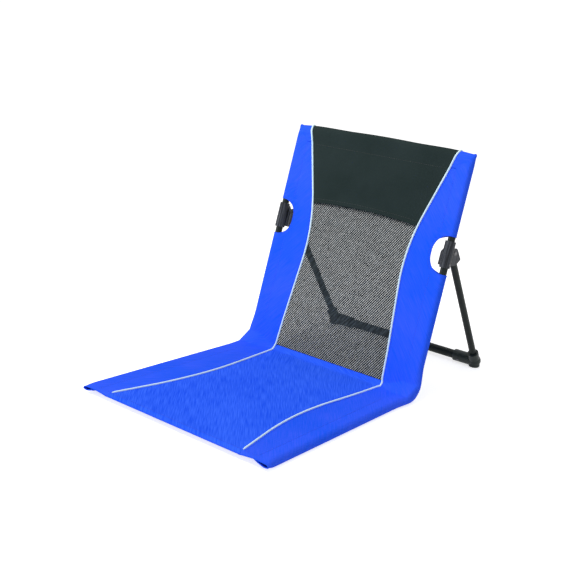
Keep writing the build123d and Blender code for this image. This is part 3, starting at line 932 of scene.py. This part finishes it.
seat = Builder()
SEAT_ROWS = [row for row in LOWER if row.zone in ("seat", "approach", "hinge")]
seat_rows = []
for row in SEAT_ROWS:
    seat_rows.append([centre_point(row, x) for x in centre_columns(row.seam - SEAM_CLEAR)])
for rise, sink in BAND_TUCK.items():
    s = BAND_TOP + rise
    seat_rows.append([(x, *back_at(s, WEB_DEPTH + sink)) for x in centre_columns(back_seam(s) - TUCK_CLEAR)])
seat.grid(seat_rows, [row.way for row in SEAT_ROWS] + TUCK_WAYS)
seat_piece = seat.make("seat_centre", blue_seat, levels=1, thickness=CLOTH)
bend(seat_piece)
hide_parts("seat_centre_panel")

# Headrest: a dark panel above a proud hem, wrapped over the top rail
HEAD_COLUMNS = 44
HEAD_SHARES = [0.0, 0.012, 0.03, 0.055, 0.09] + spread(0.09, 1.0, 15)
HEAD_CLOTH = 1.3
WRAP_WAY = 5.0
SETTLE_ROUNDS = 6
HEAD_CLEAR = 0.4
HEAD_CROWN = 3.0
CROWN_LOW = 0.18
HEAD_PROUD = 4.0
PROUD_RUN = 0.07
HEAD_RIPPLE = 0.6
RIPPLE_SHIFT = 500.0


def hem_line(x):
    return HEM_S + HEM_ARCH * (1 - (x / HEM_HALF) ** 2)


def head_point(share, v):
    """A point of the headrest: share runs from seam to seam, v from the hem to the sleeve."""
    s = mix(HEM_S, SIDE_TOP, v)
    for _ in range(SETTLE_ROUNDS):
        x = share * (back_seam(s) - HEAD_CLEAR)
        s = mix(hem_line(x), SIDE_TOP, v)
    inward = 1 - share * share
    crowned = HEAD_CROWN * inward * math.sin(math.pi * min(1.0, mix(CROWN_LOW, 1.0, v)))
    proud = HEAD_PROUD * math.exp(-v / PROUD_RUN) * (1 - share ** 8)
    lift = crowned + proud + HEAD_RIPPLE * ripple(x, s + RIPPLE_SHIFT) * inward
    return (x, *back_at(s, WEB_DEPTH - lift))


head = Builder()
shares = [2 * i / HEAD_COLUMNS - 1 for i in range(HEAD_COLUMNS + 1)]
head_rows = [[head_point(c, v) for c in shares] for v in HEAD_SHARES]
wrap = []
for c in shares:
    inner = (c * (back_seam(SIDE_TOP) - HEAD_CLEAR), SIDE_TOP)
    outer_x = c * (seam_top_x() - HEAD_CLEAR)
    wrap.append(across(inner, (outer_x, top_edge(outer_x)), crown_room(outer_x)))
head_rows += [[column[k] for column in wrap] for k in range(1, len(wrap[0]))]
head.grid(head_rows, [mix(HEM_S, SIDE_TOP, v) for v in HEAD_SHARES]
          + [SIDE_TOP + WRAP_WAY * k for k in range(1, len(wrap[0]))])
head_piece = head.make("headrest", dark_cloth, levels=1, thickness=HEAD_CLOTH)
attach(head_piece, "backrest")
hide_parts("headrest_panel")

# Mesh: a real open net, its staggered eight-sided holes in lines that slant up the back
NET_SLANT = math.radians(54.2)
CELL_ALONG = 2.3
CELL_ACROSS = 4.15
HOLE_ALONG = 0.62
HOLE_ACROSS = 0.58
NET_DEPTH = WEB_DEPTH + 0.5
NET_MIDDLE = 168.0
NET_REACH = 240.0
NET_TUCK = 7.0
# Towards the headrest's hem the holes shrink, so the net darkens there: painted shade under the proud hem,
# and partly the net lying double there
HEM_SHADE = 9.0
HEM_SHADE_HOLE = 0.35
HOLE_WAVE = (3.1, 3.1, 0.22, 1.5)
YARN_DEPTH = 0.28
RIM_MOVE = 0.01


def net_limits(x, s):
    s = min(max(s, BAND_TOP), hem_line(x) + NET_TUCK)
    reach = back_seam(s) - SEAM_CLEAR
    return min(max(x, -reach), reach), s


def net_place(along, over):
    """The place on the back that is this far along the net's lines and this far over from their middle."""
    x = along * math.cos(NET_SLANT) + over * math.sin(NET_SLANT)
    return x, NET_MIDDLE + along * math.sin(NET_SLANT) - over * math.cos(NET_SLANT)


net = Builder()
net_index = {}
net_rim = set()


def net_vertex(along, over, depth):
    """A vertex of the net; one that would fall outside the panel moves to its rim."""
    place = net_place(along, over)
    x, s = net_limits(*place)
    key = (round(x, 2), round(s, 2))
    if key not in net_index:
        net_index[key] = net.add((x, *back_at(s, depth)), (x, s))
        if math.dist(place, (x, s)) > RIM_MOVE:
            net_rim.add(net_index[key])
    return net_index[key]


RING = [(-1, -1), (0, -1), (1, -1), (1, 0), (1, 1), (0, 1), (-1, 1), (-1, 0)]
line_count = int(NET_REACH / CELL_ACROSS)
cell_count = int(NET_REACH / CELL_ALONG)
for line in range(-line_count, line_count + 1):
    for c in range(-cell_count, cell_count + 1):
        along = (c + 0.5 * (line % 2)) * CELL_ALONG
        over = line * CELL_ACROSS
        x, s = net_place(along, over)
        if math.dist((x, s), net_limits(x, s)) > CELL_ACROSS:
            continue
        grow = 1 + wave_height(x, s, HOLE_WAVE)
        # Smaller holes near the hem: painted shade under the proud hem, and partly the net lying double
        # there
        grow *= mix(HEM_SHADE_HOLE, 1.0, smooth((hem_line(x) - s) / HEM_SHADE))
        outer = []
        inner = []
        for i, j in RING:
            outer.append(net_vertex(along + i * CELL_ALONG / 2, over + j * CELL_ACROSS / 2, NET_DEPTH))
        for i, j in RING:
            size = grow / math.hypot(i, j)
            hole = (along + i * size * HOLE_ALONG, over + j * size * HOLE_ACROSS)
            inner.append(net_vertex(*hole, NET_DEPTH + YARN_DEPTH))
        for k in range(len(RING)):
            n = (k + 1) % len(RING)
            corners = []
            for corner in (inner[k], inner[n], outer[n], outer[k]):
                if corner not in corners:
                    corners.append(corner)
            if len(corners) >= 3 and not net_rim.issuperset(corners):
                net.faces.append(tuple(corners))
net_piece = net.make("mesh_back", mesh_yarn, wound=True)
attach(net_piece, "backrest")
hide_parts("mesh_panel")

# Piping: a pale corded tape in the seam from the seat's front hem to over the top
PIPING_R = 2.0
PIPING_SIDES = 10
PIPING_START = 12.0
PIPING_LIFT = 1.0
PIPING_STEP = 0.8
RAIL_SEAM_X = 190.0


def seam_path():
    """The piping's line along the seam, just above the cloth."""
    path = []
    for row in LOWER + UPPER:
        if row.zone == "seat" and row.value > SEAT_LENGTH - PIPING_START:
            continue
        y, z = seam_line(row)
        out = facing(row)
        path.append((row.seam, y + PIPING_LIFT * out[0], z + PIPING_LIFT * out[1]))
    return path


def over_top_path():
    """The piping's line over the rail and down the rear flap."""
    edge_x = seam_top_x()
    top = across((back_seam(SIDE_TOP), SIDE_TOP), (edge_x, top_edge(edge_x)), crown_room(edge_x))
    middle = Vector((0.0, *back_at(rail(RAIL_SEAM_X), TUBE_DEPTH)))
    path = []
    for k in range(1, len(top)):
        point = Vector(top[k])
        away = Vector((0.0, point.y - middle.y, point.z - middle.z)).normalized()
        if k < len(FRONT_SHARES):
            away = FRONTWARD
        if k >= len(top) - len(REAR_SHARES):
            away = -FRONTWARD
        path.append(tuple(point + away * PIPING_LIFT))
    return path


for side, sign in SIDES.items():
    path = seam_path() + over_top_path()
    cleaned = [path[0]]
    for point in path[1:]:
        if math.dist(point, cleaned[-1]) > PIPING_STEP:
            cleaned.append(point)
    cord = Builder()
    cord.tube(cleaned, PIPING_R, PIPING_SIDES)
    piece = cord.make(f"piping_{side}", piping_tape, sign)
    bend(piece)
    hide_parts(f"seat_piping_{side}", f"back_piping_{side}")

# Hems: the rolled edges of the seat's front, the headrest and the two cut-outs
FRONT_HEM_R = 1.1
HEAD_HEM_R = 1.4
CUT_HEM_R = 0.95
HEM_SIDES = 6
HEAD_HEM_SIDES = 8

# The side cover's column at the cut-out's inner tip
CUT_COLUMN = 11


def mirrored(path, sign):
    return [(sign * x, y, z) for x, y, z in path]


front_hem = Builder()
front_hem.tube(seat_rows[0], FRONT_HEM_R, HEM_SIDES)
for sign in SIDES.values():
    front_hem.tube(mirrored(cover_row(LOWER[0]), sign), FRONT_HEM_R, HEM_SIDES)
hem_piece = front_hem.make("front_hem", blue_side)
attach(hem_piece, "seat")

head_hem = Builder()
head_hem.tube(head_rows[0], HEAD_HEM_R, HEAD_HEM_SIDES)
hem_piece = head_hem.make("headrest_hem", dark_cloth)
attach(hem_piece, "backrest")

for side, sign in SIDES.items():
    lower = cover_row(LOWER[-1])[CUT_COLUMN:]
    upper = cover_row(UPPER[0])[CUT_COLUMN + 1:]
    binding = Builder()
    binding.tube(lower[::-1] + upper, CUT_HEM_R, HEM_SIDES)
    hem_piece = binding.make(f"cutout_hem_{side}", blue_side, sign)
    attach(hem_piece, "backrest")

# Stitches: rows of thread on the seat and the back, clear of the bend
STITCH_IN = 1.5
RUN_CLEAR = 4.0
CUT_CLEAR = 6.0
CUT_STITCH = 5.0
RIM_START = 0.02
SEAM_INSET = 3.0
BESIDE = 5.5
FRONT_STITCH = 435.0


def on_seat(d, x):
    row = seat_row("seat", d, d)
    if abs(x) < row.seam:
        x, y, z = centre_point(row, x)
    else:
        y, z = web_point(row, abs(x))
    return (x, y, z + CLOTH / 2)


def on_back(s, x):
    y, z = web_point(back_row("back", s, s), abs(x))
    return (x, y - COS_R * CLOTH / 2, z + SIN_R * CLOTH / 2)


def tunnel_x(row):
    return row.tube + SLEEVE_R - TUNNEL - STITCH_IN


def stations(start, end, count):
    """The start, and count even steps on from it to the end."""
    return [start] + spread(start, end, count)


SEAT_RUN = stations(BEND_ZONE + RUN_CLEAR, FRONT_STITCH, 40)
LOWER_RUN = stations(BEND_ZONE + RUN_CLEAR, CUT_S - CUT_R - CUT_CLEAR, 20)
UPPER_RUN = stations(CUT_S + CUT_R + CUT_CLEAR, SIDE_TOP - RUN_CLEAR, 14)
SEAM_RUN = stations(BEND_ZONE + RUN_CLEAR, SIDE_TOP - RUN_CLEAR, 50)

seat_thread = Builder()
back_thread = Builder()
for sign in SIDES.values():
    seat_thread.stitches([on_seat(d, sign * tunnel_x(seat_row("seat", d, d))) for d in SEAT_RUN], UPWARD)
    seat_thread.stitches([on_seat(d, sign * (seat_seam(d) + BESIDE)) for d in SEAT_RUN], UPWARD)
    edge = tunnel_x(seat_row("seat", FRONT_STITCH, FRONT_STITCH))
    hem_run = stations(seat_seam(FRONT_STITCH) + BESIDE, edge, 4)
    seat_thread.stitches([on_seat(FRONT_STITCH, sign * x) for x in hem_run], UPWARD)
    for heights in (LOWER_RUN, UPPER_RUN):
        beside_tube = [on_back(s, sign * tunnel_x(back_row("back", s, s))) for s in heights]
        back_thread.stitches(beside_tube, FRONTWARD)
    path = []
    for s in SEAM_RUN:
        x = back_seam(s) + BESIDE
        if x < tunnel_x(back_row("back", s, s)) - RUN_CLEAR:
            path.append(on_back(s, sign * x))
    back_thread.stitches(path, FRONTWARD)
    near = CUT_X - CUT_R - CUT_STITCH + RIM_START
    rim = stations(near, tunnel_x(back_row("back", CUT_S, CUT_S)), 8)
    path = [on_back(CUT_S - cut_half(x, CUT_STITCH), sign * x) for x in rim[::-1]]
    path += [on_back(CUT_S + cut_half(x, CUT_STITCH), sign * x) for x in rim]
    back_thread.stitches(path, FRONTWARD)
reach = seat_seam(FRONT_STITCH) - SEAM_INSET
seat_thread.stitches([on_seat(FRONT_STITCH, x) for x in stations(-reach, reach, 50)], UPWARD)
for name, made, body in (("seat_stitches", seat_thread, "seat"), ("back_stitches", back_thread, "backrest")):
    thread_piece = made.make(name, blue_thread)
    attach(thread_piece, body)

HEM_SHARE = 0.062
TOP_SHARE = 0.985
head_thread = Builder()
for v in (HEM_SHARE, TOP_SHARE):
    path = []
    for c in shares[1:-1]:
        path.append(tuple(Vector(head_point(c, v)) + FRONTWARD * HEAD_CLOTH / 2))
    head_thread.stitches(path, FRONTWARD)
thread_piece = head_thread.make("headrest_stitches", dark_thread)
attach(thread_piece, "backrest")

# Camera
AZIMUTH = math.radians(40.53)
ELEVATION = math.radians(16.24)
ROLL = math.radians(3.0)
CAMERA_PLACE = (1.3632, -1.65455, 0.8244)
camera_data = bpy.data.cameras.new("camera")
camera_data.lens = 69.9
camera_data.sensor_width = 36.0
camera_data.clip_end = 200.0
camera = bpy.data.objects.new("camera", camera_data)
bpy.context.scene.collection.objects.link(camera)
ground = math.cos(ELEVATION)
behind = Vector((math.sin(AZIMUTH) * ground, -math.cos(AZIMUTH) * ground, math.sin(ELEVATION)))
level = Vector((math.cos(AZIMUTH), math.sin(AZIMUTH), 0.0))
upward = behind.cross(level)
axis_x = math.cos(ROLL) * level + math.sin(ROLL) * upward
axis_y = -math.sin(ROLL) * level + math.cos(ROLL) * upward
turned = Matrix((axis_x, axis_y, behind)).transposed().to_4x4()
camera.matrix_world = Matrix.Translation(CAMERA_PLACE) @ turned
bpy.context.scene.camera = camera


# Floor and light
def seen_directly(tree):
    """One for rays from the camera, and for those that a shiny or clear surface sends on."""
    rays = tree.nodes.new("ShaderNodeLightPath")
    output = rays.outputs["Is Camera Ray"]
    for name in ("Is Glossy Ray", "Is Transmission Ray"):
        either = tree.nodes.new("ShaderNodeMath")
        either.operation = "MAXIMUM"
        tree.links.new(output, either.inputs[0])
        tree.links.new(rays.outputs[name], either.inputs[1])
        output = either.outputs[0]
    return output


FLOOR = 60.0
FLOOR_DROP = 0.0005
floor_corners = [(i * FLOOR, j * FLOOR, 0.0) for i, j in ((-1, -1), (1, -1), (1, 1), (-1, 1))]
floor_mesh = bpy.data.meshes.new("floor")
floor_mesh.from_pydata(floor_corners, [], [(0, 1, 2, 3)])
floor = bpy.data.objects.new("floor", floor_mesh)
bpy.context.scene.collection.objects.link(floor)
floor.location.z = -FLOOR_DROP
paper = Shader("floor_paper", roughness=0.9, specular_ior_level=0.0)
grain = paper.ramp(paper.noise(paper.place(), 3.0), [(0.3, (0.90, 0.90, 0.90)), (0.7, (0.92, 0.92, 0.92))])
paper.link(grain, paper.shader.inputs["Base Color"])
bright = paper.node("ShaderNodeBsdfPrincipled", Roughness=0.9)
bright.inputs["Specular IOR Level"].default_value = 0.0
bright.inputs["Emission Color"].default_value = (1.0, 1.0, 1.0, 1.0)
bright.inputs["Emission Strength"].default_value = 0.7
paper.link(grain, bright.inputs["Base Color"])
chosen = paper.node("ShaderNodeMixShader")
paper.link(seen_directly(paper.tree), chosen.inputs["Fac"])
paper.link(paper.shader.outputs["BSDF"], chosen.inputs[1])
paper.link(bright.outputs["BSDF"], chosen.inputs[2])
paper.link(chosen.outputs["Shader"], paper.tree.nodes["Material Output"].inputs["Surface"])
floor_mesh.materials.append(paper.material)

world = bpy.data.worlds.new("studio")
bpy.context.scene.world = world
world.use_nodes = True
tree = world.node_tree
light = tree.nodes["Background"]
light.inputs["Color"].default_value = (1.0, 1.0, 1.0, 1.0)
light.inputs["Strength"].default_value = 0.42
white = tree.nodes.new("ShaderNodeBackground")
white.inputs["Color"].default_value = (1.0, 1.0, 1.0, 1.0)
white.inputs["Strength"].default_value = 1.0
choose = tree.nodes.new("ShaderNodeMixShader")
tree.links.new(seen_directly(tree), choose.inputs["Fac"])
tree.links.new(light.outputs["Background"], choose.inputs[1])
tree.links.new(white.outputs["Background"], choose.inputs[2])
tree.links.new(choose.outputs["Shader"], tree.nodes["World Output"].inputs["Surface"])


def lamp(name, place, target, width, height, power):
    data = bpy.data.lights.new(name, "AREA")
    data.shape = "RECTANGLE"
    data.size = width
    data.size_y = height
    data.energy = power
    made = bpy.data.objects.new(name, data)
    bpy.context.scene.collection.objects.link(made)
    made.location = place
    made.rotation_euler = (Vector(target) - Vector(place)).to_track_quat("-Z", "Y").to_euler()


lamp("key", (-0.56, -0.93, 2.71), (0.0, 0.05, 0.15), 1.4, 1.4, 45.0)
lamp("fill", (2.2, -1.2, 1.2), (0.0, 0.1, 0.2), 1.2, 1.2, 5.0)
lamp("strip", (-1.9, -1.9, 0.6), (0.0, 0.15, 0.25), 0.6, 1.0, 20.0)

bpy.context.scene.view_settings.view_transform = "Standard"
